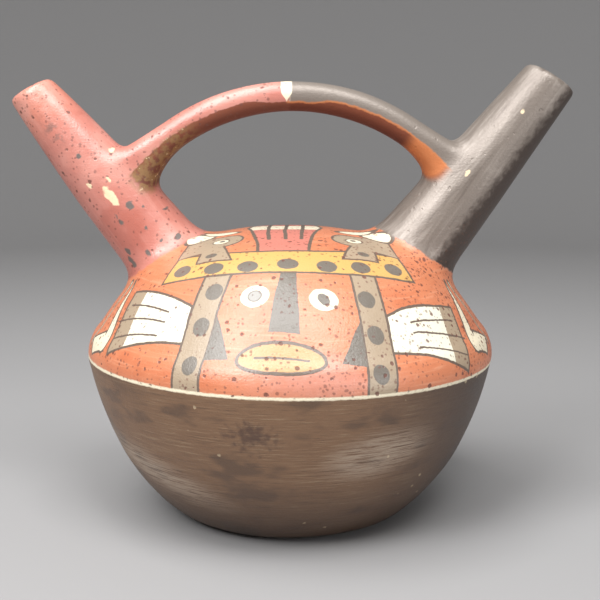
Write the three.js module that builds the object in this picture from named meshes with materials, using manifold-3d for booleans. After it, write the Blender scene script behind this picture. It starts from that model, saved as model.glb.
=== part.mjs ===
// Double-spout-and-bridge bottle of fired clay, made as one hollow piece.
// Millimetres, +Z up. The origin is the centre of the flat base, the two spouts lean
// outwards in the plane y = 0, and the painted front faces -Y.

import * as THREE from 'three';
import { mergeVertices } from 'three/addons/utils/BufferGeometryUtils.js';
import Module from 'manifold-3d';

// Chamber: a round-bottomed bowl with a flat base, closed above by a domed shoulder
const BASE_RADIUS = 38;
const WIDEST_RADIUS = 75.7;
const WIDEST_HEIGHT = 61.4;
const DOME_HEIGHT = 105.7;
const WALL = 5;
const FLOOR = 6;
const BODY_SIDES = 64;
const BODY_STEPS_PER_STRETCH = 2;
const CHAMBER_SIDES = 40;
const CHAMBER_STEPS_PER_STRETCH = 1;
const FLOOR_CORNER_RISE = 1;

// Radius and height of the outer surface, from the edge of the base up to the apex
const BODY_PROFILE = [
  [BASE_RADIUS, 0],
  [44.3, 1.9],
  [49.6, 6.2],
  [56.1, 13.4],
  [63, 23.4],
  [68.2, 34.5],
  [72.4, 46.5],
  [74.8, 56],
  [WIDEST_RADIUS, WIDEST_HEIGHT],
  [74.4, 66.7],
  [70.4, 72.4],
  [64, 81.2],
  [57, 88.9],
  [48.5, 96],
  [38.5, 101.2],
  [24, 104.5],
  [0, DOME_HEIGHT],
];

// Spouts: tapered tubes with a fillet at the foot, where they meet the dome.
// side is -1 for the red spout and +1 for the black one, mouth is the centre of its rim,
// and length is measured along the middle from there to the dome. lean is from the vertical.
// rim, middle and foot are outer radii. A slanted rim is cut closer to level than square.
const RED_SPOUT = {
  side: -1, mouth: [95.5, 157], length: 77, lean: 38.8, rim: 8.2, middle: 11.2, foot: 14, slant: 9,
};
const BLACK_SPOUT = {
  side: 1, mouth: [95.9, 161.2], length: 81, lean: 37.9, rim: 9.9, middle: 11.9, foot: 14.6, slant: 5,
};
const SPOUTS = [RED_SPOUT, BLACK_SPOUT];

// Distances below the mouth where the middle and foot radii are measured
const SPOUT_MIDDLE = 25;
const SPOUT_FOOT = 62;
const SPOUT_SWELL = 0.2;
const SPOUT_FILLET = 9;
const SPOUT_FILLET_SLANT = 10.5;
const SPOUT_FILLET_RISE = 5.2;
const SPOUT_FILLET_STEPS = 4;
const SPOUT_SKIRT = 6;
const SPOUT_SKIRT_ANGLE = THREE.MathUtils.degToRad(35);
const SPOUT_ROOT_DEPTH = 10;
const SPOUT_BORE_DEPTH = 16;
const SPOUT_WALL_AT_RIM = 3;
const SPOUT_WALL_AT_FOOT = 4.2;
const LIP_ROUNDING = 1.8;
const LIP_STEPS = 3;
const SLANT_FADE = 14;
const SPOUT_SIDES = 24;
const BORE_SIDES = 20;

// Bridge: a rounded strap bent to an arc, its ends thickened where they join the spouts
const ARCH_CENTRE_X = 1;
const ARCH_CENTRE_Z = 77.6;
const ARCH_RADIUS = 76.8;
const ARCH_HALF_ANGLE = THREE.MathUtils.degToRad(54.5);
const STRAP_THICKNESS = 10.5;
const STRAP_WIDTH = 19;
const STRAP_SQUARENESS = 2.3;
const STRAP_FLARE_START = THREE.MathUtils.degToRad(33);
const STRAP_FLARE_THICKNESS = 1.5;
const STRAP_FLARE_WIDTH = 0.25;
const STRAP_SIDES = 16;
const STRAP_STEPS = 24;

const MERGE_DISTANCE = 1e-4;

const manifold = await Module();
manifold.setup();

// A closed geometry as a solid that can be joined and cut
function solid(geometry) {
  const bare = geometry.clone();
  bare.deleteAttribute('normal');
  bare.deleteAttribute('uv');
  const merged = mergeVertices(bare, MERGE_DISTANCE);
  const corners = [];
  for (let i = 0; i < merged.index.count; i += 3) {
    const [a, b, c] = [0, 1, 2].map((k) => merged.index.getX(i + k));
    if (a !== b && b !== c && c !== a) corners.push(a, b, c);
  }
  const vertProperties = new Float32Array(merged.attributes.position.array);
  const triVerts = new Uint32Array(corners);
  return new manifold.Manifold(new manifold.Mesh({ numProp: 3, vertProperties, triVerts }));
}

function geometryOf(body) {
  const mesh = body.getMesh();
  const geometry = new THREE.BufferGeometry();
  geometry.setAttribute('position', new THREE.BufferAttribute(mesh.vertProperties, 3));
  geometry.setIndex(new THREE.BufferAttribute(mesh.triVerts, 1));
  geometry.computeVertexNormals();
  return geometry;
}

// A profile of [radius, height] pairs turned about the vertical axis
function turned(profile, sides) {
  const points = profile.map(([radius, height]) => new THREE.Vector2(radius, height));
  return new THREE.LatheGeometry(points, sides).rotateX(Math.PI / 2);
}

// Outer surface of the chamber as a smooth line of points, with the inward direction at each
function bodyOutline(stepsPerStretch) {
  const curve = new THREE.CatmullRomCurve3(
    BODY_PROFILE.map(([radius, height]) => new THREE.Vector3(radius, height, 0)),
    false,
    'centripetal',
  );
  const steps = (BODY_PROFILE.length - 1) * stepsPerStretch;
  return Array.from({ length: steps + 1 }, (_, i) => {
    const point = curve.getPoint(i / steps);
    const along = curve.getTangent(i / steps);
    return { radius: point.x, height: point.y, inward: [-along.y, along.x] };
  });
}

function bodyGeometry() {
  const rise = bodyOutline(BODY_STEPS_PER_STRETCH).map(({ radius, height }) => [radius, height]);
  rise[rise.length - 1][0] = 0;
  return turned([[0, 0], ...rise], BODY_SIDES);
}

function chamberGeometry() {
  const inside = bodyOutline(CHAMBER_STEPS_PER_STRETCH)
    .map(({ radius, height, inward }) => [radius + WALL * inward[0], height + WALL * inward[1]])
    .filter(([radius, height]) => radius > WALL && height > FLOOR + FLOOR_CORNER_RISE);
  const floorRadius = inside[0][0] - WALL;
  const profile = [[0, FLOOR], [floorRadius, FLOOR], ...inside, [0, DOME_HEIGHT - WALL]];
  return turned(profile, CHAMBER_SIDES);
}

// A point of a spout's profile lies at a distance below its mouth, so its height is negative
function spoutProfile({ length, rim, middle, foot }) {
  const filletTop = SPOUT_FILLET_RISE - length;
  const fillet = [];
  for (let i = 0; i <= SPOUT_FILLET_STEPS; i++) {
    const turn = THREE.MathUtils.lerp(SPOUT_SKIRT_ANGLE, Math.PI / 2, i / SPOUT_FILLET_STEPS);
    const radius = foot + SPOUT_FILLET * (1 - Math.sin(turn));
    fillet.push([radius, filletTop - SPOUT_FILLET * Math.cos(turn)]);
  }
  const skirt = [
    fillet[0][0] + SPOUT_SKIRT * Math.cos(SPOUT_SKIRT_ANGLE),
    fillet[0][1] - SPOUT_SKIRT * Math.sin(SPOUT_SKIRT_ANGLE),
  ];
  const root = -length - SPOUT_ROOT_DEPTH;
  const profile = [[0, root], [skirt[0], root], skirt, ...fillet];
  const halfway = [(foot + middle) / 2 + SPOUT_SWELL, -(SPOUT_FOOT + SPOUT_MIDDLE) / 2];
  profile.push([foot, -SPOUT_FOOT], halfway);
  profile.push([middle, -SPOUT_MIDDLE], [(rim + middle) / 2, -SPOUT_MIDDLE / 2]);
  for (let i = 0; i <= LIP_STEPS; i++) {
    const turn = (i / LIP_STEPS) * (Math.PI / 2);
    const inset = LIP_ROUNDING * (1 - Math.cos(turn));
    profile.push([rim - inset, LIP_ROUNDING * (Math.sin(turn) - 1)]);
  }
  profile.push([0, 0]);
  return profile;
}

// The bore runs from above the mouth down into the chamber
function boreProfile({ length, rim, foot }) {
  const mouth = rim - SPOUT_WALL_AT_RIM;
  const end = length + SPOUT_BORE_DEPTH;
  return [
    [0, -end],
    [foot - SPOUT_WALL_AT_FOOT, -end],
    [foot - SPOUT_WALL_AT_FOOT, -SPOUT_FOOT],
    [mouth, -LIP_ROUNDING],
    [mouth + LIP_ROUNDING / 2, 0],
    [mouth + LIP_ROUNDING, LIP_ROUNDING],
    [0, LIP_ROUNDING],
  ];
}

// Cuts the mouth of an upright tube on the slant, and tips the fillet at its foot to lie on
// the dome. Both ease off towards the middle of the tube.
function slantEnds(geometry, { side, length, slant }) {
  const position = geometry.attributes.position;
  const mouthPitch = side * Math.tan(THREE.MathUtils.degToRad(slant));
  const filletPitch = side * Math.tan(THREE.MathUtils.degToRad(SPOUT_FILLET_SLANT));
  for (let i = 0; i < position.count; i++) {
    const z = position.getZ(i);
    const nearMouth = THREE.MathUtils.smoothstep(z, -SLANT_FADE, 0);
    const nearFoot = 1 - THREE.MathUtils.smoothstep(z, SPOUT_FILLET_RISE - length, -SPOUT_FOOT);
    position.setZ(i, z + (nearMouth * mouthPitch + nearFoot * filletPitch) * position.getX(i));
  }
  return geometry;
}

// Leans an upright tube outwards and sets its mouth in place
function placeSpout(geometry, { side, mouth, lean }) {
  return geometry
    .rotateY(side * THREE.MathUtils.degToRad(lean))
    .translate(side * mouth[0], 0, mouth[1]);
}

function spoutGeometry(spout) {
  return placeSpout(slantEnds(turned(spoutProfile(spout), SPOUT_SIDES), spout), spout);
}

function boreGeometry(spout) {
  return placeSpout(slantEnds(turned(boreProfile(spout), BORE_SIDES), spout), spout);
}

// The arc that the strap follows, from the red spout over to the black one
class Arch extends THREE.Curve {
  getPoint(t, target = new THREE.Vector3()) {
    const angle = ARCH_HALF_ANGLE * (2 * t - 1);
    const x = ARCH_CENTRE_X + ARCH_RADIUS * Math.sin(angle);
    return target.set(x, 0, ARCH_CENTRE_Z + ARCH_RADIUS * Math.cos(angle));
  }
}

// Rounded section of the strap, as a superellipse
function strapSection() {
  const round = (value) => Math.sign(value) * Math.abs(value) ** (2 / STRAP_SQUARENESS);
  const points = Array.from({ length: STRAP_SIDES }, (_, i) => {
    const turn = (2 * Math.PI * (i + 0.5)) / STRAP_SIDES;
    const across = (STRAP_WIDTH / 2) * round(Math.cos(turn));
    return new THREE.Vector2(across, (STRAP_THICKNESS / 2) * round(Math.sin(turn)));
  });
  return new THREE.Shape(points);
}

// Thickens and widens the strap towards both ends
function flareStrap(geometry) {
  const position = geometry.attributes.position;
  for (let i = 0; i < position.count; i++) {
    const x = position.getX(i) - ARCH_CENTRE_X;
    const z = position.getZ(i) - ARCH_CENTRE_Z;
    const angle = Math.atan2(x, z);
    const past = (Math.abs(angle) - STRAP_FLARE_START) / (ARCH_HALF_ANGLE - STRAP_FLARE_START);
    const flare = Math.max(0, past) ** 2;
    const offset = (Math.hypot(x, z) - ARCH_RADIUS) * (1 + STRAP_FLARE_THICKNESS * flare);
    position.setX(i, ARCH_CENTRE_X + (ARCH_RADIUS + offset) * Math.sin(angle));
    position.setZ(i, ARCH_CENTRE_Z + (ARCH_RADIUS + offset) * Math.cos(angle));
    position.setY(i, position.getY(i) * (1 + STRAP_FLARE_WIDTH * flare));
  }
  return geometry;
}

function bridgeGeometry() {
  const path = new Arch();
  const strap = new THREE.ExtrudeGeometry(strapSection(), { steps: STRAP_STEPS, extrudePath: path });
  return flareStrap(strap);
}

// The whole bottle: outer shapes joined, then hollowed through to both mouths
function vesselGeometry() {
  let clay = solid(bodyGeometry()).add(solid(bridgeGeometry()));
  for (const spout of SPOUTS) clay = clay.add(solid(spoutGeometry(spout)));
  let hollow = solid(chamberGeometry());
  for (const spout of SPOUTS) hollow = hollow.add(solid(boreGeometry(spout)));
  return geometryOf(clay.subtract(hollow));
}

const firedClay = new THREE.MeshStandardMaterial({ color: 0xa8573a, roughness: 0.5, metalness: 0 });

const bottle = new THREE.Group();
const vessel = new THREE.Mesh(vesselGeometry(), firedClay);
vessel.name = 'vessel';
bottle.add(vessel);

export default bottle;
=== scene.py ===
# Double-spout-and-bridge bottle of painted and burnished clay.
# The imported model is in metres, +Z up, on the centre of its flat base. The painted front
# faces -Y and the spouts lean along X. Sizes here are millimetres, unless a comment says metres.

import math

import bmesh
import bpy
from mathutils import Euler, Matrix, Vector


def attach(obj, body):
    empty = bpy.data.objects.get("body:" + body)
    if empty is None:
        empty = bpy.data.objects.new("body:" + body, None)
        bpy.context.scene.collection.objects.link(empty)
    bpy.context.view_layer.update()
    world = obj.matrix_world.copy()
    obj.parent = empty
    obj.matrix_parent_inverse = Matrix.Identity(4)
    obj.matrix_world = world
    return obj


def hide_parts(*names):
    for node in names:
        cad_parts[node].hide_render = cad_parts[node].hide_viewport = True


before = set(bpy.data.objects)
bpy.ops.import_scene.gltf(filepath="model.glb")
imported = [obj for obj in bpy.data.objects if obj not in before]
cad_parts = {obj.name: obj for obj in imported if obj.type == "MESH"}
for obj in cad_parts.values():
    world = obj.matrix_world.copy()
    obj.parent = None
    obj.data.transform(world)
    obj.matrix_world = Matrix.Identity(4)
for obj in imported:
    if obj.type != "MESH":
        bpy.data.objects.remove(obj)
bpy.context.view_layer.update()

MM = 0.001


# Expressions on node sockets

class Wire:
    """An output socket of a shader or geometry tree. Arithmetic on it adds Math nodes."""

    def __init__(self, socket):
        self.socket = socket
        self.tree = socket.id_data

    def math(self, operation, *values, clamp=False):
        settings = {"operation": operation, "use_clamp": clamp}
        return add(self.tree, "ShaderNodeMath", settings, dict(enumerate(values)))

    def __add__(self, other):
        return self.math("ADD", self, other)

    def __radd__(self, other):
        return self.math("ADD", other, self)

    def __sub__(self, other):
        return self.math("SUBTRACT", self, other)

    def __rsub__(self, other):
        return self.math("SUBTRACT", other, self)

    def __mul__(self, other):
        return self.math("MULTIPLY", self, other)

    def __rmul__(self, other):
        return self.math("MULTIPLY", other, self)

    def __truediv__(self, other):
        return self.math("DIVIDE", self, other)

    def __rtruediv__(self, other):
        return self.math("DIVIDE", other, self)

    def __pow__(self, power):
        return self.math("POWER", self, power)

    def __neg__(self):
        return self.math("MULTIPLY", self, -1.0)

    def __abs__(self):
        return self.math("ABSOLUTE", self)

    def __gt__(self, other):
        return self.math("GREATER_THAN", self, other)

    def __lt__(self, other):
        return self.math("LESS_THAN", self, other)

    def clamp(self):
        return self.math("ADD", self, 0.0, clamp=True)

    def root(self):
        return self.math("SQRT", self)


def add(tree, kind, settings=None, inputs=None, output=0):
    """Adds a node: its settings first, then the values or wires of its input sockets."""
    node = tree.nodes.new(kind)
    for name, value in (settings or {}).items():
        setattr(node, name, value)
    for key, value in (inputs or {}).items():
        plug(tree, node.inputs[key], value)
    return Wire(node.outputs[output])


def plug(tree, socket, value):
    if isinstance(value, Wire):
        tree.links.new(value.socket, socket)
    else:
        socket.default_value = value


def least(a, b):
    return a.math("MINIMUM", a, b)


def most(a, b):
    return a.math("MAXIMUM", a, b)


def soft_least(a, b, width):
    return a.math("SMOOTH_MIN", a, b, width)


def soft_most(a, b, width):
    return a.math("SMOOTH_MAX", a, b, width)


def hypotenuse(a, b):
    return (a * a + b * b).root()


def vector_of(tree, x, y, z):
    return add(tree, "ShaderNodeCombineXYZ", inputs={0: x, 1: y, 2: z})


def parts_of(vector):
    node = vector.tree.nodes.new("ShaderNodeSeparateXYZ")
    vector.tree.links.new(vector.socket, node.inputs[0])
    return [Wire(output) for output in node.outputs]


def vector_math(operation, *values, output=0):
    tree = next(value.tree for value in values if isinstance(value, Wire))
    inputs = dict(enumerate(values))
    return add(tree, "ShaderNodeVectorMath", {"operation": operation}, inputs, output)


def scaled(vector, factor):
    inputs = {0: vector, "Scale": factor}
    return add(vector.tree, "ShaderNodeVectorMath", {"operation": "SCALE"}, inputs)


def stretched(vector, x, y, z):
    return vector_math("MULTIPLY", vector, (x, y, z))


def curve_through(value, points):
    """A smooth curve, from 0 to 1, through points of (value, height)."""
    node = value.tree.nodes.new("ShaderNodeFloatCurve")
    line = node.mapping.curves[0]
    node.mapping.use_clip = False
    for place, height in points[1:-1]:
        line.points.new(place, height)
    line.points[0].location = points[0]
    line.points[len(points) - 1].location = points[-1]
    node.mapping.update()
    value.tree.links.new(value.socket, node.inputs["Value"])
    return Wire(node.outputs[0])


# Form of the clay

# Radius and height of the outer surface of the chamber, from the edge of the base to the apex
BODY_PROFILE = [
    (38, 0), (44.3, 1.9), (49.6, 6.2), (56.1, 13.4), (63, 23.4), (68.2, 34.5), (72.4, 46.5),
    (74.8, 56), (75.7, 61.4), (74.4, 66.7), (70.4, 72.4), (64, 81.2), (57, 88.9), (48.5, 96),
    (38.5, 101.2), (24, 104.5), (0, 105.7),
]
# The profile is turned into a distance from a point on the axis, at this height
PROFILE_CENTRE = 54
# Measured along a ray, a distance is a little longer than the true one where the wall slants
PROFILE_SLOPE = 0.96
# The curves hold lengths in these units, so that they stay between 0 and 1
SIZE_UNIT = 100
ARC_UNIT = 200
BASE_SAG = 3
BASE_ROUNDING = 2.5

SIZES = {
    "Wall": 5.0,
    "Floor": 6.0,
    "Wall at the rim": 3.0,
    "Wall at the foot": 4.2,
    "Lip rounding": 2.4,
    "Foot blend": 12.0,
    "Bridge blend": 6.5,
    "Bridge radius": 76.8,
    "Bridge thickness": 10.5,
    "Bridge width": 19.0,
    "Unevenness": 0.5,
    "Red rim": 8.2,
    "Red middle": 11.2,
    "Red foot": 14.0,
    "Black rim": 9.9,
    "Black middle": 11.9,
    "Black foot": 14.6,
    "Fine cell": 1.2,
    "Coarse cell": 2.4,
}

# side, centre of the mouth, lean in degrees, length down to the dome, slant of the rim
SPOUTS = {
    "Red": (-1, (95.5, 157), 38.8, 77, 9),
    "Black": (1, (95.9, 161.2), 37.9, 81, 5),
}
# Down from the mouth: where a spout's middle and foot radius are, and where its bore is cut
SPOUT_MIDDLE = 25
SPOUT_FOOT = 62
OUTER_LIP = 1.6
ROOT_DEPTH = 6
BORE_REACH = 16
BORE_CUT = 10
BORE_OVERLAP = 2
BORE_STEP = 0.25
BORE_BLEND = 3.0
ARCH_CENTRE = (1, 77.6)
ARCH_HALF_ANGLE = math.radians(54.5)
FLARE_START = math.radians(33)
FLARE_THICKNESS = 1.3
STRAP_ROUNDING = 4.9
SWELL = {"Scale": 0.028, "Detail": 1.0, "Roughness": 0.4}
SLOPE_NUDGE = 0.2
GRID_LOW = (-106, -79, -3)
GRID_HIGH = (107.6, 79, 170)
INNER_LOW = (-100, -74, 0)
INNER_HIGH = (100, 74, 160)


def turn_of(radius, height):
    """Angle from straight up to a point of the profile, from 0 to 1 for half a turn."""
    return math.atan2(radius, height - PROFILE_CENTRE) / math.pi


def polar_profile():
    """The chamber's profile as distance from a point on its axis, by angle from straight up."""
    line = [
        (turn_of(radius, height), math.hypot(radius, height - PROFILE_CENTRE) / SIZE_UNIT)
        for radius, height in reversed(BODY_PROFILE)
    ]
    line.append((1, (PROFILE_CENTRE + BASE_SAG) / SIZE_UNIT))
    return line


def arc_lengths():
    """Distance from the apex along the profile, by the same angle."""
    line = [(0, 0)]
    length = 0
    last = BODY_PROFILE[-1]
    for point in reversed(BODY_PROFILE[:-1]):
        length += math.dist(point, last)
        line.append((turn_of(*point), length / ARC_UNIT))
        last = point
    line.append((1, (length + last[0]) / ARC_UNIT))
    return line


def body_angle(point):
    x, y, z = parts_of(point)
    across = hypotenuse(x, y)
    rise = z - PROFILE_CENTRE
    return across, rise, across.math("ARCTAN2", across, rise) / math.pi


def body_distance(point):
    across, rise, angle = body_angle(point)
    reach = curve_through(angle, polar_profile()) * SIZE_UNIT
    return (hypotenuse(across, rise) - reach) * PROFILE_SLOPE


def spout_place(point, name):
    """Place in a spout's own frame: down its axis from the mouth, in plane, and sideways."""
    side, mouth, lean, _, _ = SPOUTS[name]
    lean = math.radians(lean)
    from_mouth = vector_math("SUBTRACT", point, (side * mouth[0], 0, mouth[1]))
    down = (-side * math.sin(lean), 0, -math.cos(lean))
    outward = (side * math.cos(lean), 0, -math.sin(lean))
    along = vector_math("DOT_PRODUCT", from_mouth, down, output=1)
    in_plane = vector_math("DOT_PRODUCT", from_mouth, outward, output=1)
    return along, in_plane, parts_of(point)[1]


def taper(along, rim, middle, foot):
    """Radius along a spout: a curve through its rim, middle and foot."""
    t = most(along, 0.0)
    at_middle = t * (SPOUT_FOOT - t) / (SPOUT_MIDDLE * (SPOUT_FOOT - SPOUT_MIDDLE))
    at_foot = t * (t - SPOUT_MIDDLE) / (SPOUT_FOOT * (SPOUT_FOOT - SPOUT_MIDDLE))
    return rim + (middle - rim) * at_middle + (foot - rim) * at_foot


def spout_distance(point, name, sizes):
    slant = math.tan(math.radians(SPOUTS[name][4]))
    length = SPOUTS[name][3]
    along, in_plane, sideways = spout_place(point, name)
    from_axis = hypotenuse(in_plane, sideways)
    radius = taper(along, *(sizes[f"{name} {place}"] for place in ("rim", "middle", "foot")))
    rim_plane = -along - in_plane * slant
    tube = soft_most(from_axis - radius, rim_plane, sizes["Lip rounding"] * OUTER_LIP)
    return most(tube, along - (length + ROOT_DEPTH))


def bore_distance(point, name, sizes):
    along, in_plane, sideways = spout_place(point, name)
    mouth = sizes[f"{name} rim"] - sizes["Wall at the rim"]
    foot = sizes[f"{name} foot"] - sizes["Wall at the foot"]
    radius = mouth + (foot - mouth) * (along / SPOUT_FOOT)
    return hypotenuse(in_plane, sideways) - radius, along


def bridge_place(point):
    """Place on the bridge: angle from its crown, out from the arc, and across the strap."""
    x, y, z = parts_of(point)
    x = x - ARCH_CENTRE[0]
    z = z - ARCH_CENTRE[1]
    return x.math("ARCTAN2", x, z), hypotenuse(x, z), y


def bridge_distance(point, sizes):
    turn, reach, across = bridge_place(point)
    span = ARCH_HALF_ANGLE - FLARE_START
    flare = most((abs(turn) - FLARE_START) / span, 0.0)
    flare = flare * flare
    thick = sizes["Bridge thickness"] / 2 * (1 + FLARE_THICKNESS * flare)
    wide = sizes["Bridge width"] / 2
    over = abs(reach - sizes["Bridge radius"]) - (thick - STRAP_ROUNDING)
    beside = abs(across) - (wide - STRAP_ROUNDING)
    outside = hypotenuse(most(over, 0.0), most(beside, 0.0))
    strap = outside + least(most(over, beside), 0.0) - STRAP_ROUNDING
    return most(strap, (abs(turn) - ARCH_HALF_ANGLE) * sizes["Bridge radius"])


def clay_distance(point, sizes):
    """Distance outside the clay's outer surface, negative inside."""
    body = body_distance(point)
    red = spout_distance(point, "Red", sizes)
    black = spout_distance(point, "Black", sizes)
    spouts = least(red, black)
    whole = soft_least(spouts, bridge_distance(point, sizes), sizes["Bridge blend"])
    whole = soft_least(whole, body, sizes["Foot blend"])
    settings = {"noise_dimensions": "3D"}
    swell = add(point.tree, "ShaderNodeTexNoise", settings, {"Vector": point, **SWELL})
    whole = whole + (swell - 0.5) * sizes["Unevenness"]
    whole = soft_most(whole, -parts_of(point)[2], BASE_ROUNDING)
    for name in SPOUTS:
        bore, along = bore_distance(point, name, sizes)
        shallow = most(bore, along - (BORE_CUT + BORE_OVERLAP))
        whole = soft_most(whole, -shallow, sizes["Lip rounding"])
    return whole


def hollow_distance(point, sizes):
    """Distance outside the hollow: the chamber and the deep part of both bores."""
    height = parts_of(point)[2]
    chamber = most(body_distance(point) + sizes["Wall"], sizes["Floor"] - height)
    for name in SPOUTS:
        bore, along = bore_distance(point, name, sizes)
        bore = most(bore + BORE_STEP, BORE_CUT - along)
        bore = most(bore, along - (SPOUTS[name][3] + BORE_REACH))
        chamber = soft_least(chamber, bore, BORE_BLEND)
    return chamber


def size_sockets(tree):
    for name, size in SIZES.items():
        item = tree.interface.new_socket(name=name, in_out="INPUT", socket_type="NodeSocketFloat")
        item.default_value = size


def field(name, measure):
    """A distance field in a node group of its own, as a function of a point and the sizes."""
    group = bpy.data.node_groups.new(name, "GeometryNodeTree")
    group.interface.new_socket(name="Point", in_out="INPUT", socket_type="NodeSocketVector")
    size_sockets(group)
    group.interface.new_socket(name="Distance", in_out="OUTPUT", socket_type="NodeSocketFloat")
    entry = group.nodes.new("NodeGroupInput")
    leave = group.nodes.new("NodeGroupOutput")
    inner_sizes = {size: Wire(entry.outputs[size]) for size in SIZES}
    result = measure(Wire(entry.outputs["Point"]), inner_sizes)
    group.links.new(result.socket, leave.inputs["Distance"])

    def distance(point, sizes):
        inputs = {"Point": point, **sizes}
        return add(point.tree, "GeometryNodeGroup", {"node_tree": group}, inputs)
    return distance


def meshed(tree, distance, low, high, cell, sizes):
    """The surface where a distance is zero, found on a grid and then set exactly on it."""
    position = add(tree, "GeometryNodeInputPosition")
    point = scaled(position, 1 / MM)
    grid = {
        "Density": -distance(point, sizes),
        "Background": -1.0,
        "Min": tuple(value * MM for value in low),
        "Max": tuple(value * MM for value in high),
    }
    for axis, start, end in zip("XYZ", low, high):
        grid[f"Resolution {axis}"] = (end - start) / cell
    volume = add(tree, "GeometryNodeVolumeCube", inputs=grid)
    settings = {"resolution_mode": "GRID"}
    inputs = {"Volume": volume, "Threshold": 0.0}
    surface = add(tree, "GeometryNodeVolumeToMesh", settings, inputs)
    here = distance(point, sizes)
    nudges = ((SLOPE_NUDGE, 0, 0), (0, SLOPE_NUDGE, 0), (0, 0, SLOPE_NUDGE))
    slope = [
        (distance(vector_math("ADD", point, nudge), sizes) - here) / SLOPE_NUDGE
        for nudge in nudges
    ]
    slope = vector_of(tree, *slope)
    steepness = vector_math("LENGTH", slope, output=1)
    step = scaled(slope, -here / (steepness * steepness) * MM)
    return add(tree, "GeometryNodeSetPosition", inputs={"Geometry": surface, "Offset": step})


def stored(tree, geometry, name, vector):
    settings = {"data_type": "FLOAT_VECTOR", "domain": "POINT"}
    inputs = {"Geometry": geometry, "Name": name, "Value": vector}
    return add(tree, "GeometryNodeStoreNamedAttribute", settings, inputs)


def charted(tree, geometry, sizes):
    """Stores the places that the painting and the burnishing follow, in millimetres."""
    point = scaled(add(tree, "GeometryNodeInputPosition"), 1 / MM)
    x, y, _ = parts_of(point)
    across, _, angle = body_angle(point)
    reach = curve_through(angle, arc_lengths()) * ARC_UNIT
    spread = reach / most(across, 0.01)
    geometry = stored(tree, geometry, "dome_chart", vector_of(tree, x * spread, y * spread, reach))
    red = spout_distance(point, "Red", sizes)
    black = spout_distance(point, "Black", sizes)
    near = vector_of(tree, body_distance(point), least(red, black), bridge_distance(point, sizes))
    geometry = stored(tree, geometry, "distance_to_parts", near)
    right = x > 0.0
    red_place = spout_place(point, "Red")
    black_place = spout_place(point, "Black")
    chosen = [a + (b - a) * right for a, b in zip(red_place, black_place)]
    geometry = stored(tree, geometry, "spout_chart", vector_of(tree, *chosen))
    turn, out, sideways = bridge_place(point)
    strap = vector_of(tree, turn * sizes["Bridge radius"], out - sizes["Bridge radius"], sideways)
    return stored(tree, geometry, "bridge_chart", strap)


def vessel_tree(finish):
    tree = bpy.data.node_groups.new("Clay form", "GeometryNodeTree")
    size_sockets(tree)
    tree.interface.new_socket(name="Clay", in_out="OUTPUT", socket_type="NodeSocketGeometry")
    entry = tree.nodes.new("NodeGroupInput")
    sizes = {name: Wire(entry.outputs[name]) for name in SIZES}
    surface = field("Outside of the clay", clay_distance)
    hollow = field("Hollow of the clay", hollow_distance)
    outer = meshed(tree, surface, GRID_LOW, GRID_HIGH, sizes["Fine cell"], sizes)
    inner = meshed(tree, hollow, INNER_LOW, INNER_HIGH, sizes["Coarse cell"], sizes)
    settings = {"operation": "DIFFERENCE", "solver": "MANIFOLD"}
    clay = add(tree, "GeometryNodeMeshBoolean", settings, {0: outer, 1: inner})
    clay = charted(tree, clay, sizes)
    clay = add(tree, "GeometryNodeSetShadeSmooth", inputs={"Geometry": clay})
    clay = add(tree, "GeometryNodeRealizeInstances", inputs={"Geometry": clay})
    clay = add(tree, "GeometryNodeSetMaterial", inputs={"Geometry": clay, "Material": finish})
    leave = tree.nodes.new("NodeGroupOutput")
    tree.links.new(clay.socket, leave.inputs["Clay"])
    return tree


def grown(name, tree, sizes):
    """Runs a geometry tree on an empty mesh and keeps the result as a plain mesh object."""
    piece = bpy.data.objects.new(name, bpy.data.meshes.new(name))
    bpy.context.scene.collection.objects.link(piece)
    modifier = piece.modifiers.new("Form", "NODES")
    modifier.node_group = tree
    for item in tree.interface.items_tree:
        if item.in_out == "INPUT" and item.name in sizes:
            modifier[item.identifier] = sizes[item.name]
    evaluated = piece.evaluated_get(bpy.context.evaluated_depsgraph_get())
    mesh = bpy.data.meshes.new_from_object(evaluated)
    piece.modifiers.clear()
    piece.data = mesh
    mesh.name = name
    return piece


# Camera, light and floor: the camera's place is in millimetres, all the rest in metres

CAMERA_PLACE = (3.67, -389, 144)
CAMERA_PITCH = 0.1666
CAMERA_LENS = 62.4
SENSOR = 36
WORLD_LIGHT = 0.42
WORLD_COLOUR = (1.0, 0.99, 0.97, 1)
# Place, size and watts of each soft light, and the point that all of them face
LIGHTS = {
    "Key": ((-0.40, -0.50, 0.60), (0.34, 0.34), 4.6),
    "Overhead": ((-0.24, -0.20, 0.90), (0.5, 0.5), 5.6),
    "Front": ((0.20, -0.42, 0.88), (0.4, 0.4), 4.2),
    "Right": ((0.62, -0.62, 0.24), (0.25, 0.4), 1.6),
}
LIGHT_AIM = (0, 0, 0.08)
FLOOR_COLOUR = (0.34, 0.335, 0.337, 1)
FLOOR_ROUGHNESS = 0.85
FLOOR_GAP = 0.0001
FLOOR_RADIUS = 0.9
SWEEP_RADIUS = 0.5
SWEEP_STEPS = 12
SWEEP_HEIGHT = 1.2
SWEEP_SIDES = 72


def place_camera():
    lens = bpy.data.cameras.new("Camera")
    lens.lens = CAMERA_LENS
    lens.sensor_width = SENSOR
    lens.clip_start = 0.01
    camera = bpy.data.objects.new("Camera", lens)
    camera.location = Vector(CAMERA_PLACE) * MM
    camera.rotation_euler = Euler((math.pi / 2 - CAMERA_PITCH, 0, 0))
    bpy.context.scene.collection.objects.link(camera)
    bpy.context.scene.camera = camera


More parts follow.
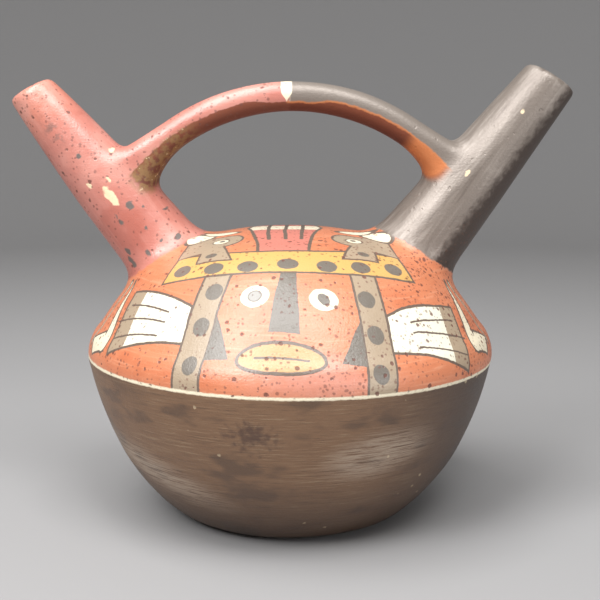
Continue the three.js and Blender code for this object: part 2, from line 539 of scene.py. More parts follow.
def place_light(name, place, size, watts):
    lamp = bpy.data.lights.new(name, "AREA")
    lamp.shape = "RECTANGLE"
    lamp.size, lamp.size_y = size
    lamp.energy = watts
    light = bpy.data.objects.new(name, lamp)
    light.location = place
    light.visible_camera = False
    facing = Vector(LIGHT_AIM) - Vector(place)
    light.rotation_euler = facing.to_track_quat("-Z", "Y").to_euler()
    bpy.context.scene.collection.objects.link(light)


def linear(red, green, blue):
    """A colour given on the 0 to 255 scale of a screen, as a shader wants it."""
    def channel(value):
        value /= 255
        return value / 12.92 if value <= 0.04045 else ((value + 0.055) / 1.055) ** 2.4
    return (channel(red), channel(green), channel(blue), 1.0)


def studio():
    world = bpy.data.worlds.new("Studio")
    world.use_nodes = True
    background = world.node_tree.nodes["Background"]
    background.inputs["Color"].default_value = WORLD_COLOUR
    background.inputs["Strength"].default_value = WORLD_LIGHT
    bpy.context.scene.world = world
    bpy.context.scene.view_settings.view_transform = "Standard"
    for name, light in LIGHTS.items():
        place_light(name, *light)


def make_floor():
    """A round pale floor that curves up into a wall, so that no edge shows behind."""
    profile = [(0.0, 0.0), (FLOOR_RADIUS, 0.0)]
    for step in range(1, SWEEP_STEPS + 1):
        turn = math.pi / 2 * step / SWEEP_STEPS
        across = FLOOR_RADIUS + SWEEP_RADIUS * math.sin(turn)
        profile.append((across, SWEEP_RADIUS * (1 - math.cos(turn))))
    profile.append((FLOOR_RADIUS + SWEEP_RADIUS, SWEEP_HEIGHT))
    sweep = bmesh.new()
    line = [sweep.verts.new((radius, 0, height)) for radius, height in profile]
    edges = [sweep.edges.new(pair) for pair in zip(line, line[1:])]
    bmesh.ops.spin(sweep, geom=line + edges, axis=(0, 0, 1), cent=(0, 0, 0),
                   steps=SWEEP_SIDES, angle=2 * math.pi)
    bmesh.ops.remove_doubles(sweep, verts=sweep.verts, dist=FLOOR_GAP)
    for face in sweep.faces:
        face.smooth = True
        if face.normal.z < 0:
            face.normal_flip()
    mesh = bpy.data.meshes.new("Floor")
    sweep.to_mesh(mesh)
    sweep.free()
    floor = bpy.data.objects.new("Floor", mesh)
    floor.location.z = -FLOOR_GAP
    bpy.context.scene.collection.objects.link(floor)
    material = bpy.data.materials.new("Pale floor")
    material.use_nodes = True
    shader = material.node_tree.nodes["Principled BSDF"]
    shader.inputs["Base Color"].default_value = FLOOR_COLOUR
    shader.inputs["Roughness"].default_value = FLOOR_ROUGHNESS
    mesh.materials.append(material)


# Slips and brushwork

class Paint:
    """Slips laid one over another: their colour, roughness, metal and height in millimetres."""

    EDGE = 0.22
    LAYERS = {"Colour": "NodeSocketColor", "Roughness": "NodeSocketFloat",
              "Metal": "NodeSocketFloat", "Height": "NodeSocketFloat"}

    def __init__(self, tree, colour, roughness, metal=0.0, height=0.0):
        self.tree = tree
        self.colour = colour
        self.roughness = roughness
        self.metal = metal
        self.height = height

    def layers(self):
        return (self.colour, self.roughness, self.metal, self.height)

    def apply(self, work, *wires):
        """Lays a step of the painting over what is there, in a node group of its own."""
        group = bpy.data.node_groups.new(work.__name__.replace("_", " "), "ShaderNodeTree")
        for name, kind in self.LAYERS.items():
            group.interface.new_socket(name=name, in_out="INPUT", socket_type=kind)
            group.interface.new_socket(name=name, in_out="OUTPUT", socket_type=kind)
        for index, wire in enumerate(wires):
            kind = "NodeSocketVector" if wire.socket.type == "VECTOR" else "NodeSocketFloat"
            group.interface.new_socket(name=f"Wire {index}", in_out="INPUT", socket_type=kind)
        entry = group.nodes.new("NodeGroupInput")
        leave = group.nodes.new("NodeGroupOutput")
        inner = Paint(group, *(Wire(entry.outputs[name]) for name in self.LAYERS))
        work(inner, *(Wire(entry.outputs[f"Wire {index}"]) for index in range(len(wires))))
        for name, value in zip(self.LAYERS, inner.layers()):
            group.links.new(value.socket, leave.inputs[name])
        step = self.tree.nodes.new("ShaderNodeGroup")
        step.node_tree = group
        for name, value in zip(self.LAYERS, self.layers()):
            plug(self.tree, step.inputs[name], value)
        for index, wire in enumerate(wires):
            plug(self.tree, step.inputs[f"Wire {index}"], wire)
        self.colour, self.roughness, self.metal, self.height = map(Wire, step.outputs)

    def cover(self, mask, colour, roughness=None):
        settings = {"data_type": "RGBA"}
        inputs = {0: mask, 6: self.colour, 7: colour}
        self.colour = add(self.tree, "ShaderNodeMix", settings, inputs, 2)
        if roughness is not None:
            self.roughness = self.roughness + (roughness - self.roughness) * mask

    def fill(self, distance, colour, within=None, edge=EDGE, roughness=None):
        mask = filled(distance, edge)
        self.cover(mask if within is None else mask * within, colour, roughness)

    def outline(self, distance, width, colour, within=None):
        self.fill(abs(distance) - width / 2, colour, within)


def filled(distance, edge=Paint.EDGE):
    """1 where a distance in millimetres is negative, with a soft edge."""
    return distance.math("MULTIPLY_ADD", distance, -1 / edge, 0.5, clamp=True)


def noise(vector, scale, detail=2.0, roughness=0.5, output=0):
    inputs = {"Vector": vector, "Scale": scale, "Detail": detail, "Roughness": roughness}
    return add(vector.tree, "ShaderNodeTexNoise", {"noise_dimensions": "3D"}, inputs, output)


def ramp(value, low, high, start=0.0, end=1.0, smooth=True):
    settings = {"interpolation_type": "SMOOTHSTEP" if smooth else "LINEAR", "clamp": True}
    inputs = {0: value, 1: low, 2: high, 3: start, 4: end}
    return add(value.tree, "ShaderNodeMapRange", settings, inputs)


def attribute(tree, name):
    settings = {"attribute_type": "GEOMETRY", "attribute_name": name}
    return add(tree, "ShaderNodeAttribute", settings, output=1)


def specks(place, cell, share, size):
    """Scattered spots, one in a share of the cells, each about size in millimetres across."""
    settings = {"voronoi_dimensions": "3D", "feature": "F1"}
    spread = add(place.tree, "ShaderNodeTexVoronoi", settings, {"Vector": place, "Scale": 1 / cell})
    chance, breadth, _ = parts_of(Wire(spread.socket.node.outputs["Color"]))
    outside = spread * cell - size / 2 * (SMALLEST_SPECK + breadth)
    return filled(outside, SPECK_EDGE) * (chance < share)


def edge_line(u, v, start, end):
    """Distance to the right of a line drawn from start to end, looking along it."""
    run = (end[0] - start[0], end[1] - start[1])
    length = math.hypot(*run)
    across = (run[1] / length, -run[0] / length)
    offset = across[0] * start[0] + across[1] * start[1]
    return u * across[0] + v * across[1] - offset


def polygon(u, v, corners):
    """Distance outside a convex polygon whose corners go anticlockwise."""
    sides = [edge_line(u, v, a, b) for a, b in zip(corners, corners[1:] + corners[:1])]
    distance = sides[0]
    for side in sides[1:]:
        distance = most(distance, side)
    return distance


def oval(u, v, centre, radii, turn=0.0):
    """Roughly the distance outside an oval, turned anticlockwise by an angle in degrees."""
    if turn:
        cosine = math.cos(math.radians(turn))
        sine = math.sin(math.radians(turn))
        u, v = u * cosine + v * sine, v * cosine - u * sine
        centre = (centre[0] * cosine + centre[1] * sine, centre[1] * cosine - centre[0] * sine)
    across = (u - centre[0]) / radii[0]
    upward = (v - centre[1]) / radii[1]
    return (hypotenuse(across, upward) - 1) * min(radii)


def true_oval(u, v, centre, radii):
    """Distance outside a long oval, close enough for a line of even width round it."""
    across = (u - centre[0]) / radii[0]
    upward = (v - centre[1]) / radii[1]
    reach = hypotenuse(across, upward)
    return (reach - 1) * reach / hypotenuse(across / radii[0], upward / radii[1])


def stroke(u, v, start, end, width):
    """Distance outside a straight brush stroke."""
    run = (end[0] - start[0], end[1] - start[1])
    length = math.hypot(*run)
    along = (u - start[0]) * (run[0] / length) + (v - start[1]) * (run[1] / length)
    beyond = most(abs(along - length / 2) - length / 2, 0.0)
    return hypotenuse(edge_line(u, v, start, end), beyond) - width / 2


# Slips, clays and what has settled on them
ORANGE = linear(212, 130, 92)
ORANGE_DEEP = linear(192, 104, 66)
ORANGE_PALE = linear(232, 166, 132)
ROSE = linear(197, 124, 110)
ROSE_PALE = linear(218, 156, 142)
ROSE_DEEP = linear(168, 84, 66)
ROSE_ORANGE = linear(214, 128, 98)
CREAM = linear(240, 228, 200)
HAND_WHITE = linear(238, 234, 214)
YELLOW = linear(214, 168, 98)
MOUTH_TAN = linear(206, 156, 104)
GREY_BROWN = linear(170, 150, 126)
SLATE = linear(112, 104, 94)
SLATE_PALE = linear(150, 146, 140)
LINE_GREY = linear(108, 92, 80)
PLUME_RED = linear(206, 124, 108)
SPECK = linear(104, 58, 44)
PIT_GREY = linear(104, 92, 86)
BOWL_BROWN = linear(126, 92, 63)
# Dark brown for random patches and streaks on the bowl, and for painted shade at its foot and right
# edge
BOWL_DARK_AND_SHADE = linear(54, 37, 27)
BOWL_DUST = linear(166, 142, 112)
BOWL_STAIN = linear(58, 28, 20)
SCUFF = linear(178, 158, 138)
# The black spout: a grey painted sheen with paler painted streaks, then its own dark slip, which
# also serves as painted shade on its outer side
PAINTED_SHEEN_GREY = linear(132, 121, 112)
PAINTED_SHEEN_PALE = linear(166, 155, 146)
BLACK_SLIP_AND_SHADE = linear(62, 46, 36)
BLACK_SPECK = linear(118, 76, 52)
BARE_CLAY = linear(126, 62, 34)
# Dark bare clay: the base underneath, and painted shade under the bridge
DARK_CLAY_AND_SHADE = linear(100, 46, 27)
BRIGHT_CLAY = linear(206, 126, 72)
OLIVE = linear(138, 104, 60)
CHIP = linear(236, 214, 176)
INSIDE_CLAY = linear(120, 70, 52)

# Roughness of each kind of surface
BURNISHED = 0.36
MATT = 0.62
BARE = 0.78
# How strongly the burnished slips shine, and how metallic the black one looks
SHEEN = 0.85
BLACK_METAL = 0.3

# Patterns, in lumps to the millimetre, or for each axis where they are drawn out
SHAKE = 0.6
CLOUDS = 0.05
RAGS = 0.45
GRAINS = 1.4
BRUSHED = (0.05, 0.05, 1.1)
WIPED = (0.07, 0.07, 2.1)
PATCHED = (0.04, 0.04, 0.09)
ALONG_SPOUT = (0.025, 0.3, 0.3)
# How far the brush shook and wandered
SHAKE_REACH = 0.45
WANDER = 1.8
# Pits and specks: the cell that each sits in, and its size across
SPOT_CELL = 2.5
SPOT_SIZE = 1.15
DOT_CELL = 1.35
DOT_SIZE = 0.8
SMALLEST_SPECK = 0.4
SPECK_EDGE = 0.3
ROUGHNESS_GRAIN = 0.22
# Depth of each pattern
GRAIN_DEPTH = 0.12
RAG_DEPTH = 0.10
BRUSH_DEPTH = 0.06
WIPE_DEPTH = 0.14
SPOT_DEPTH = 0.12
BUMP_STRENGTH = 0.8

# Brushed lines: the least and greatest width, and those drawn with a finer brush
LINE_WIDTH = (0.72, 1.28)
FINE_LINE = 0.5
THIN_LINE = 0.7

# The painting is laid out on a flat chart of the dome: u to the right and v away from the
# viewer, both from the apex, with true distances along every line down from the apex
BAND_TOP = (34.7, 72.0)
BAND_FOOT = (40.0, 90.0)
BAND_END = [(47.2, -38.4), (39.2, -25.5)]
BAND_CENTRE = -0.7
BAND_DOTS = [(0.0, -45.4), (13.5, -45.4), (25.6, -42.2), (37.8, -36.2)]
BAND_DOT = (3.7, 2.9)
DOT_TURN = 0.9
PLUME_CENTRE = -2.0
PLUME_HALF = 8.8
PLUME_SPREAD = 4.8
PLUME_FOOT = -40.0
PLUME_TIP = -6.5
PLUME_CURVE = 1.8
PLUME_LINE = 1.2
PLUME_TICKS = (-5.4, 0.4, 6.2)
TICK_FOOT = -24.0
TICK_TIP = 4.0
TICK_LEAN = 1.1
TICK_WIDTH = 1.4

# The face leans a little: its middle line drifts sideways, and it is turned on the dome
FACE_DRIFT = 0.06
FACE_SHIFT = 3.9
FACE_TURN = 0.05
SIDE_BAND_INNER = [(20.6, -48.8), (33.9, -89.4)]
SIDE_BAND_OUTER = [(29.8, -45.7), (45.6, -85.2)]
SIDE_BAND_TOP = -42.0
SIDE_BAND_DOTS = [(27.0, -55.2), (32.1, -67.7), (36.6, -80.8)]
SIDE_DOT = (3.3, 3.4)
EYE = (12.0, -60.3)
EYE_WHITE = (5.1, 4.4)
PUPIL = (2.4, 2.2)
DARK_PUPIL = ((2.6, 1.9), -48)
NOSE = [(-6.6, -74.3), (4.6, -74.4), (1.6, -49.8), (-3.8, -49.8)]
EAR = [(21.4, -82.4), (31.2, -80.6), (25.6, -65.5)]
MOUTH = (-1.4, -83.2)
MOUTH_HALF = (16.8, 5.5)
MOUTH_LINE = [(-11.4, -83.0), (8.8, -83.4)]
MOUTH_LINE_WIDTH = 0.8
MOUTH_OUTLINE = 1.25
CHIN = (9.0, -89.0)
# Half sizes of the pale pink painted highlight below the mouth
CHIN_HIGHLIGHT = (30.0, 9.0)
HAND = [(35.2, -58.5), (40.0, -71.5), (76.3, -52.5), (61.3, -31.2)]
FINGERTIPS = [(67.6, -57.4), (55.8, -38.6)]
FINGER_LINES = [[(45.4, -55.8), (62.7, -38.5)], [(47.2, -59.2), (70.0, -40.4)],
                [(50.8, -63.0), (72.7, -47.4)]]
# Each oval is a centre, its half sizes and a turn in degrees
BEAST_HEAD = ((22.6, -20.4), (6.6, 7.6), 24)
BEAST_BACK = [(24.0, -31.0), (40.2, -26.4), (34.6, -13.0), (24.0, -13.0)]
BEAST_NECK = [(19.4, -39.6), (32.2, -35.8), (30.8, -28.0), (22.6, -27.0)]
BEAST_CRESTS = [((31.6, -11.6), (6.2, 3.2), -38), ((24.4, -6.6), (6.6, 2.8), 8)]
BEAST_EYE = ((23.8, -20.9), (3.0, 2.9), 10)
BEAST_PUPIL = ((23.4, -20.6), (1.1, 1.2))
BEAST_SPOT = ((26.8, -33.2), (2.2, 1.5), 10)
HOOK_LIMB_HALVES = (3.6, 0.3)
HOOK_RIM_WIDTH = 1.6
HOOK_LIMB = [(60.0, -17.0), (77.0, -40.0)]
HOOK_FOOT = [(77.6, -44.0), (86.8, -33.0), (84.4, -24.0), (76.0, -33.0)]
HOOK_OUTER = [(62.0, -14.5), (86.5, -24.0)]
SHOULDER = 96.4
SHOULDER_TILT = 0.014
SHOULDER_LINE = 1.1
SHOULDER_LINE_EDGE = 0.35

# How far off the dome the slip of each spout starts
RED_SLIP_EDGE = 1.5
BLACK_SLIP_EDGE = 3.4
SLIP_RAGGEDNESS = 1.6
# The strokes along a spout start this far off it, and fade in over a short way
STREAK_START = 2.0
STREAK_FADE = 3.0
# Clay this deep under the outer surface, and this low, is inside or underneath
INSIDE_DEPTH = 1.8
INSIDE_FLOOR = 1.5
UNDERSIDE = 0.7

# Pits and chips on the spouts: down from the mouth, outwards, half length, half width
RED_PITS = [(56.0, -3.5, 1.5, 1.3), (58.4, 3.0, 1.9, 0.6), (66.0, -2.8, 1.0, 0.9),
            (68.2, 8.3, 2.0, 0.7), (72.0, 9.6, 2.4, 0.9), (73.3, 2.4, 1.1, 0.9),
            (75.6, -9.2, 1.0, 1.6), (30.7, -0.3, 1.0, 0.9), (59.3, -6.6, 0.6, 0.5),
            (64.9, -11.6, 0.5, 0.7), (72.9, -4.0, 0.5, 0.5)]
RED_CHIPS = [(49.4, -0.2, 4.0, 1.5), (44.1, -3.5, 1.2, 0.7), (41.6, 3.6, 1.1, 0.6),
             (36.4, -10.2, 1.0, 0.9)]
BLACK_PITS = [(73.6, 8.5, 1.4, 1.2), (76.5, 11.0, 0.7, 0.6)]
BLACK_CHIPS = [(17.7, -2.2, 0.7, 0.5), (46.3, -4.2, 1.3, 0.6)]
PIT_RAGGEDNESS = 2.2
# Down from the mouth, and outwards from the axis, for what is on one stretch or side
WARM_LIP = 26.0
SHADED_SIDE = (6.0, 13.0)
SMUDGE = ((1.4, 18.5), (2.4, 5.0))
# The black spout's outer side, from this far out from its axis, is darkened as painted shade
PAINTED_SHADE_SIDE = (4.0, 8.0)
PAINTED_SHADE_RAGGEDNESS = 6.0

# The bridge: along its arc from the crown, and outwards from the strap's middle line. Its
# finish reaches a little way off it, and its bare clay stops short of the spouts
BRIDGE_REACH = 1.4
BRIDGE_FADE = 1.6
BARE_STOP = 1.2
BRIDGE_BAND = -2.1
BRIDGE_BAND_HALF = 1.9
BRIDGE_BAND_FOOT = -2.0
BRIDGE_BAND_SPREAD = (-2.4, 1.5)
BRIDGE_SLIP_EDGE = (-2.2, -0.6)
BRIDGE_SLIP_RUN = (6.0, 16.0)
BRIDGE_RAGGEDNESS = 1.2
# Between these offsets the bare clay under the strap darkens as painted shade
PAINTED_UNDERSIDE_SHADE = (-1.5, -4.6)
RIM_HALF = 0.35
BARE_PATCH = (44.0, 50.0)
DEPOSIT = (-34.0, -46.0)

# Scuffs and a stain on the front of the bowl: place across and height, half sizes, turn
BOWL_SCUFFS = [((-47.0, 27.0), (21.0, 5.0), -20.0), ((29.0, 38.0), (15.0, 7.0), 12.0)]
BOWL_STAIN_OVAL = ((-12.0, 46.0), (7.0, 4.5))
STAIN_RAGGEDNESS = 16.0
# The bowl gets painted shade below this height and towards its right edge, and darkens in patches
# towards its left edge
PAINTED_SHADE_FOOT = (36.0, 2.0)
PAINTED_SHADE_RIGHT = (18.0, 66.0)
DARK_LEFT = (40.0, 74.0)
FOOT_RING = (30.0, 38.0)


def stretched_noise(vector, stretch, detail, roughness=0.6):
    return noise(stretched(vector, *stretch), 1.0, detail, roughness)


def finish_clay():
    material = bpy.data.materials.new("Painted and burnished clay")
    material.use_nodes = True
    tree = material.node_tree
    shader = tree.nodes["Principled BSDF"]
    shader.inputs["Specular IOR Level"].default_value = SHEEN
    place = scaled(add(tree, "ShaderNodeTexCoord", output=3), 1 / MM)
    chart = attribute(tree, "dome_chart")
    body_near, spout_near, bridge_near = parts_of(attribute(tree, "distance_to_parts"))
    x, _, z = parts_of(place)
    right = filled(-x, 1.0)

    shaky = vector_math("SUBTRACT", noise(place, SHAKE, 1.0, output=1), (0.5, 0.5, 0.5))
    mottle = noise(place, CLOUDS, 3.0)
    ragged = noise(place, RAGS, 2.0)
    grain = noise(place, GRAINS, 2.0, 0.65)
    streak = stretched_noise(attribute(tree, "spout_chart"), ALONG_SPOUT, 2.0)
    streak = (streak - 0.5) * filled(spout_near - STREAK_START, STREAK_FADE) + 0.5
    drift = (mottle - 0.5) * WANDER
    u, v, reach = parts_of(vector_math("ADD", chart, scaled(shaky, SHAKE_REACH)))
    u = u + drift
    v = v - drift
    below = reach - (SHOULDER + x * SHOULDER_TILT)
    bowl = filled(-below)
    on_bridge = filled(bridge_near - BRIDGE_REACH, BRIDGE_FADE)
    off_body = body_near + (ragged - 0.5) * SLIP_RAGGEDNESS
    red = filled(RED_SLIP_EDGE - off_body, 0.5) * (1 - right)
    black = filled(BLACK_SLIP_EDGE - off_body, 0.5) * right

    paint = Paint(tree, ORANGE, BURNISHED)
    paint.apply(burnish_dome, place, u, v, mottle, ragged)
    paint_figure(paint, u, v, mottle)
    paint.apply(wipe_bowl, place, bowl, mottle, ragged)
    line = abs(below) - SHOULDER_LINE / 2
    paint.fill(line, CREAM, edge=SHOULDER_LINE_EDGE, roughness=0.5)
    paint.apply(coat_red, red, mottle, ragged, streak)
    paint.apply(coat_black, black, ragged, streak)
    paint.apply(finish_bridge, on_bridge, spout_near, ragged)
    shaky_place = vector_math("ADD", place, shaky)
    paint.apply(speckle, shaky_place, u, bowl, most(red, black), black, mottle)
    inside = filled(least(body_near, spout_near) + INSIDE_DEPTH, 0.8)
    paint.cover(inside * filled(INSIDE_FLOOR - z, 1.0), INSIDE_CLAY, BARE)
    paint.apply(leave_foot, place, filled(z - UNDERSIDE, 0.6), ragged)

    paint.height = paint.height + grain * GRAIN_DEPTH + ragged * RAG_DEPTH
    tree.links.new(paint.colour.socket, shader.inputs["Base Color"])
    roughness = (paint.roughness + (grain - 0.5) * ROUGHNESS_GRAIN).clamp()
    tree.links.new(roughness.socket, shader.inputs["Roughness"])
    inputs = {"Height": paint.height, "Distance": MM, "Strength": BUMP_STRENGTH}
    bump = add(tree, "ShaderNodeBump", inputs=inputs)
    tree.links.new(bump.socket, shader.inputs["Normal"])
    tree.links.new(paint.metal.socket, shader.inputs["Metallic"])
    return material


def burnish_dome(paint, place, u, v, mottle, ragged):
    """The orange slip: cloudy, and streaked by the cloth that laid it on, with a pale pink painted
    highlight below the mouth.
    """
    streak = stretched_noise(place, BRUSHED, 2.0)
    paint.cover(ramp(mottle, 0.48, 0.68) * 0.5, ORANGE_DEEP, 0.40)
    paint.cover(ramp(streak, 0.52, 0.75) * 0.45, ORANGE_PALE)
    paint.cover(ramp(streak, 0.46, 0.28) * 0.30, ORANGE_DEEP)
    paint.cover(ramp(ragged, 0.58, 0.72) * 0.2, ORANGE_PALE, 0.45)
    # A pale pink painted highlight below the mouth, where the slip is also glossier
    painted_highlight = ramp(oval(u, v, CHIN, CHIN_HIGHLIGHT), 3.0, -7.0) * (ragged * 0.5 + 0.35)
    paint.cover(painted_highlight, ROSE_PALE, 0.30)
    paint.height = paint.height + streak * BRUSH_DEPTH


def speckle(paint, place, u, bowl, spouts, black, mottle):
    """Small pits: dark on the painting and thickest on its right, pale on the bowl, and
    brown on the black spout."""
    dense = ramp(mottle, 0.40, 0.60)
    share = dense * 0.28 + ramp(u, -10.0, 55.0) * 0.24 + 0.16
    share = share * (1 - bowl * 0.93) * (1 - spouts * 0.55)
    spots = specks(place, SPOT_CELL, share, SPOT_SIZE)
    share = dense * 0.3 + ramp(u, 0.0, 40.0) * 0.3 + 0.16
    dots = specks(place, DOT_CELL, share, DOT_SIZE) * (1 - bowl)
    paint.cover(spots * (1 - most(bowl, black)) * 0.85, SPECK, MATT)
    paint.cover(dots * (1 - black) * 0.6, SPECK, MATT)
    paint.cover(spots * bowl * 0.4, CHIP, MATT)
    low_down = black * ramp(u, 45.0, 66.0)
    paint.cover(most(spots, dots) * low_down * 0.7, BLACK_SPECK, MATT)
    paint.height = paint.height - spots * SPOT_DEPTH


def wipe_bowl(paint, place, mask, mottle, ragged):
    """The brown bowl: wiped round and round, scuffed pale, and darker towards its foot and right
    edge from painted shade.
    """
    x, y, z = parts_of(place)
    wipe = stretched_noise(place, WIPED, 4.0, 0.75)
    patch = stretched_noise(place, PATCHED, 3.0)
    front = filled(y, 6.0)
    paint.cover(mask, BOWL_BROWN, 0.48)
    paint.cover(mask * ramp(patch, 0.48, 0.34) * 0.5, BOWL_DARK_AND_SHADE, 0.42)
    paint.cover(mask * ramp(wipe, 0.50, 0.72) * ramp(patch, 0.40, 0.60) * 0.75, BOWL_DUST, 0.6)
    paint.cover(mask * ramp(wipe, 0.46, 0.30) * 0.6, BOWL_DARK_AND_SHADE)
    # Painted shade: darker towards the foot and towards the right edge
    paint.cover(mask * ramp(z, *PAINTED_SHADE_FOOT) * 0.75, BOWL_DARK_AND_SHADE)
    paint.cover(mask * ramp(x, *PAINTED_SHADE_RIGHT) * 0.85, BOWL_DARK_AND_SHADE)
    paint.cover(mask * ramp(-x, *DARK_LEFT) * ramp(mottle, 0.44, 0.6) * 0.6, BOWL_DARK_AND_SHADE)
    for place_on_front, half_sizes, turn in BOWL_SCUFFS:
        scuff = ramp(oval(x, z, place_on_front, half_sizes, turn), 4.0, -4.0)
        paint.cover(mask * front * scuff * ramp(wipe, 0.38, 0.56) * 0.8, SCUFF, 0.55)
    stain = oval(x, z, *BOWL_STAIN_OVAL) + (ragged - 0.5) * STAIN_RAGGEDNESS
    stain = ramp(stain, 2.0, -5.0)
    paint.cover(mask * front * stain * 0.7, BOWL_STAIN)
    paint.height = paint.height + mask * wipe * WIPE_DEPTH


def coat_red(paint, mask, mottle, ragged, streak):
    """The rose-red spout, with grey pits, pale chips and strokes that run along it."""
    along, outward, sideways = parts_of(attribute(paint.tree, "spout_chart"))
    paint.cover(mask, ROSE, 0.34)
    paint.cover(mask * ramp(along, WARM_LIP, 0.0) * 0.5, ROSE_ORANGE)
    paint.cover(mask * ramp(mottle, 0.48, 0.64) * 0.5, ROSE_PALE)
    paint.cover(mask * ramp(mottle, 0.44, 0.32) * 0.5, ROSE_DEEP)
    paint.cover(mask * ramp(streak, 0.52, 0.70) * 0.35, ROSE_PALE)
    paint.cover(mask * ramp(outward, *SHADED_SIDE) * 0.5, ROSE_DEEP, 0.42)
    front = mask * filled(sideways, 1.0)
    smudge = ramp(oval(outward, along, *SMUDGE), 2.0, -2.0)
    paint.cover(front * smudge * ramp(ragged, 0.42, 0.62) * 0.6, PIT_GREY)
    mark(paint, front, ragged, along, outward, RED_PITS, PIT_GREY)
    mark(paint, front, ragged, along, outward, RED_CHIPS, CHIP)


def mark(paint, mask, ragged, along, outward, spots, colour):
    """Pits or chips at given places on a spout, with ragged edges."""
    nearest = None
    for down, out, half_length, half_width in spots:
        spot = oval(outward, along, (out, down), (half_width, half_length))
        nearest = spot if nearest is None else least(nearest, spot)
    paint.fill(nearest + (ragged - 0.5) * PIT_RAGGEDNESS, colour, mask, 0.4, MATT)


def coat_black(paint, mask, ragged, streak):
    """The black spout: a grey painted sheen over its burnished slip, and painted shade in the dark
    slip colour on its outer side.
    """
    along, outward, sideways = parts_of(attribute(paint.tree, "spout_chart"))
    painted_side_shade = ramp(outward + (ragged - 0.5) * PAINTED_SHADE_RAGGEDNESS, *PAINTED_SHADE_SIDE)
    # Painted sheen: the grey and its paler streaks stand for the shine of the burnished slip
    paint.cover(mask, PAINTED_SHEEN_GREY, 0.44)
    paint.cover(mask * ramp(streak, 0.46, 0.64) * 0.6, PAINTED_SHEEN_PALE, 0.46)
    paint.cover(mask * ramp(streak, 0.42, 0.30) * 0.30, BLACK_SLIP_AND_SHADE)
    # Painted shade on the outer side of the black spout, in the dark slip colour
    paint.cover(mask * painted_side_shade, BLACK_SLIP_AND_SHADE, 0.46)
    front = mask * filled(sideways, 1.0)
    mark(paint, front, ragged, along, outward, BLACK_PITS, BLACK_SLIP_AND_SHADE)
    mark(paint, front, ragged, along, outward, BLACK_CHIPS, CHIP)
    paint.metal = mask * (1 - painted_side_shade) * BLACK_METAL


def finish_bridge(paint, mask, spout_near, ragged):
    """The bridge: each half in its spout's slip above, with bare clay showing below, darkened
    underneath by painted shade.
    """
    arc, offset, _ = parts_of(attribute(paint.tree, "bridge_chart"))
    uneven = (ragged - 0.5) * BRIDGE_RAGGEDNESS
    edge = ramp(abs(arc), *BRIDGE_SLIP_RUN, *BRIDGE_SLIP_EDGE) + uneven
    bare = mask * filled(BARE_STOP - spout_near, BRIDGE_FADE)
    under = filled(offset - edge, 0.4) * bare
    red_half = filled(arc - BRIDGE_BAND, 1.0)
    paint.cover(under, BARE_CLAY, BARE)
    # Painted shade on the underside of the strap
    deep = ramp(offset, *PAINTED_UNDERSIDE_SHADE)
    paint.cover(under * deep * 0.9, DARK_CLAY_AND_SHADE, BARE)
    patch = ramp(arc, *BARE_PATCH)
    paint.cover(under * patch * 0.85, BRIGHT_CLAY)
    rim = filled(abs(offset - edge) - RIM_HALF, 0.4) * bare * (1 - red_half)
    paint.cover(rim * 0.8, BRIGHT_CLAY, MATT)
    deposit = ramp(arc, *DEPOSIT) * red_half * filled(offset - edge, 2.0)
    paint.cover(mask * deposit * ramp(ragged, 0.36, 0.56) * 0.85, OLIVE, BARE)
    paint.cover(mask * deposit * ramp(ragged, 0.66, 0.72) * 0.7, CHIP, BARE)
    half = ramp(offset, *BRIDGE_BAND_SPREAD, 0.0, BRIDGE_BAND_HALF)
    band = abs(arc - BRIDGE_BAND + uneven * 0.3) - half
    above = filled(BRIDGE_BAND_FOOT - offset, 0.4)
    paint.cover(filled(band, 0.3) * above * mask, CREAM, 0.5)


def leave_foot(paint, place, mask, ragged):
    """The unslipped base, rubbed pale on the ring that it stands on."""
    x, y, _ = parts_of(place)
    ring = ramp(hypotenuse(x, y), *FOOT_RING)
    paint.cover(mask, DARK_CLAY_AND_SHADE, BARE)
    paint.cover(mask * ring * ramp(ragged, 0.42, 0.62) * 0.7, BOWL_DUST, BARE)


def paint_figure(paint, u, v, pressure):
    """The painted face and headdress, before and behind. The hands and the beasts' heads are
    on the front alone."""
    finest, broadest = LINE_WIDTH
    line = finest + pressure * (broadest - finest)
    front = filled(v, 1.0)
    v = -abs(v)
    side = abs(u - BAND_CENTRE)
    face_u = u + v * -FACE_DRIFT - FACE_SHIFT
    face_v = v + u * FACE_TURN
    face_side = abs(face_u)
    paint.apply(paint_hands, face_side, face_v, line, front)
    paint.apply(paint_side_bands, face_side, face_v, line)
    paint.apply(paint_face, face_u, face_side, face_v, line)
    paint.apply(paint_plume, u - PLUME_CENTRE, v, line)
    paint.apply(paint_band, side, v, line)
    paint.apply(paint_beasts, side, v, line, front)
    paint.apply(paint_hooks, abs(u), v, line)


def paint_band(paint, side, v, line):
    """The yellow headband, between two arcs, with a row of dark dots."""
    top = BAND_TOP[1] - hypotenuse(side, v - BAND_TOP[0])
    foot = hypotenuse(side, v - BAND_FOOT[0]) - BAND_FOOT[1]
    band = most(most(top, foot), edge_line(side, v, *BAND_END))
    paint.fill(band, YELLOW)
    paint.outline(band, line, LINE_GREY)
    for centre in BAND_DOTS:
        paint.fill(oval(side, v, centre, BAND_DOT, centre[0] * DOT_TURN), SLATE)


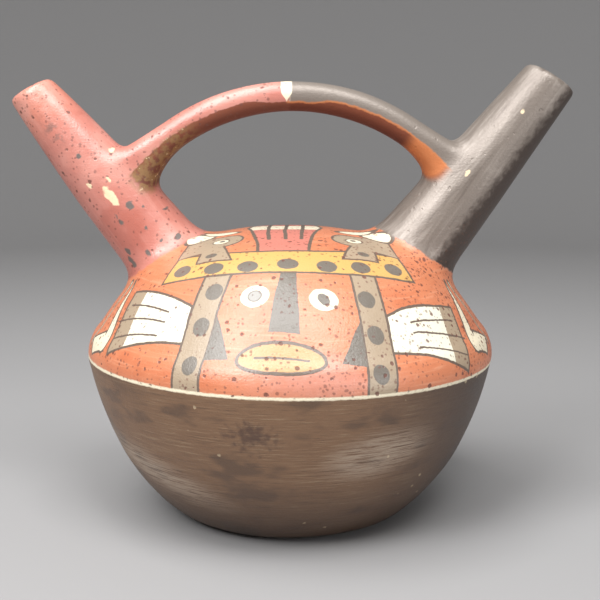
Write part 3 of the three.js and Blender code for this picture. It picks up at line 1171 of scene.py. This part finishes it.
def paint_plume(paint, u, v, line):
    """The red plume over the headband, spreading towards a pale tip with dark ticks."""
    rise = most((v - PLUME_FOOT) / -PLUME_FOOT, 0.0)
    half = PLUME_HALF + PLUME_SPREAD * rise ** PLUME_CURVE
    sides = abs(u) - half
    plume = most(sides, PLUME_FOOT - v)
    paint.fill(plume, PLUME_RED)
    paint.fill(most(plume, PLUME_TIP - v), CREAM)
    paint.outline(sides, line * PLUME_LINE, LINE_GREY, filled(PLUME_FOOT - v))
    for tick in PLUME_TICKS:
        ends = (tick, TICK_FOOT), (tick * TICK_LEAN, TICK_TIP)
        paint.fill(stroke(u, v, *ends, TICK_WIDTH), LINE_GREY)


def paint_side_bands(paint, side, v, line):
    """The dotted band that hangs down each side of the face."""
    inner = edge_line(side, v, SIDE_BAND_INNER[1], SIDE_BAND_INNER[0])
    outer = edge_line(side, v, *SIDE_BAND_OUTER)
    band = most(-inner, -outer)
    below = v - SIDE_BAND_TOP
    paint.fill(most(band, below), GREY_BROWN)
    paint.outline(band, line, LINE_GREY, filled(below))
    for centre in SIDE_BAND_DOTS:
        paint.fill(oval(side, v, centre, SIDE_DOT), SLATE)


def paint_face(paint, u, side, v, line):
    """Nose, ears, mouth and eyes: the left eye pale, and the right one dark and narrow."""
    paint.fill(polygon(u, v, NOSE), SLATE)
    paint.fill(polygon(side, v, EAR), SLATE)
    paint.fill(oval(side, v, EYE, EYE_WHITE), CREAM)
    right = filled(-u)
    pupil = oval(side, v, EYE, PUPIL)
    paint.fill(pupil, SLATE_PALE, 1 - right)
    paint.outline(pupil, FINE_LINE, SLATE, 1 - right)
    paint.fill(oval(side, v, EYE, *DARK_PUPIL), SLATE, right)
    mouth = true_oval(u, v, MOUTH, MOUTH_HALF)
    paint.fill(mouth, MOUTH_TAN)
    paint.outline(mouth, line * MOUTH_OUTLINE, LINE_GREY)
    paint.fill(stroke(u, v, *MOUTH_LINE, MOUTH_LINE_WIDTH), LINE_GREY)


def paint_hands(paint, side, v, line, front):
    """An open hand on each side of the face, with the fingertips outwards."""
    hand = polygon(side, v, HAND)
    paint.fill(hand, HAND_WHITE, front)
    tips = most(hand, edge_line(side, v, FINGERTIPS[1], FINGERTIPS[0]))
    paint.fill(tips, GREY_BROWN, front)
    for finger in FINGER_LINES:
        paint.fill(stroke(side, v, *finger, THIN_LINE), LINE_GREY, front)
    paint.outline(hand, line, LINE_GREY, front)


def paint_beasts(paint, side, v, line, front):
    """A beast's head on each end of the headband, looking inwards."""
    head = oval(side, v, *BEAST_HEAD)
    beast = least(least(head, polygon(side, v, BEAST_BACK)), polygon(side, v, BEAST_NECK))
    paint.fill(beast, GREY_BROWN, front)
    paint.outline(beast, line * 0.8, LINE_GREY, front)
    for crest in BEAST_CRESTS:
        leaf = oval(side, v, *crest)
        paint.fill(leaf, CREAM, front)
        paint.outline(leaf, line * 0.8, LINE_GREY, front)
    eye = oval(side, v, *BEAST_EYE)
    paint.fill(eye, CREAM, front)
    paint.outline(eye, FINE_LINE, LINE_GREY, front)
    paint.fill(oval(side, v, *BEAST_PUPIL), SLATE, front)
    paint.fill(oval(side, v, *BEAST_SPOT), SLATE, front)


def paint_hooks(paint, side, v, line):
    """A pale hooked shape on each side, open between its long limb and its rim."""
    (_, tip), (_, foot) = HOOK_LIMB
    half_width = ramp(v, foot, tip, *HOOK_LIMB_HALVES, smooth=False)
    limb = stroke(side, v, *HOOK_LIMB, 0.0) - half_width
    rim = stroke(side, v, *HOOK_OUTER, HOOK_RIM_WIDTH)
    hook = least(least(limb, rim), polygon(side, v, HOOK_FOOT))
    paint.fill(hook, CREAM)
    paint.outline(hook, line * 0.9, LINE_GREY)


# The piece, its place in the frame, and the picture of it

place_camera()
studio()
make_floor()
clay = finish_clay()
cells = {}
vessel = grown("painted_vessel", vessel_tree(clay), {**SIZES, **cells})
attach(vessel, "root")
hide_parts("vessel")
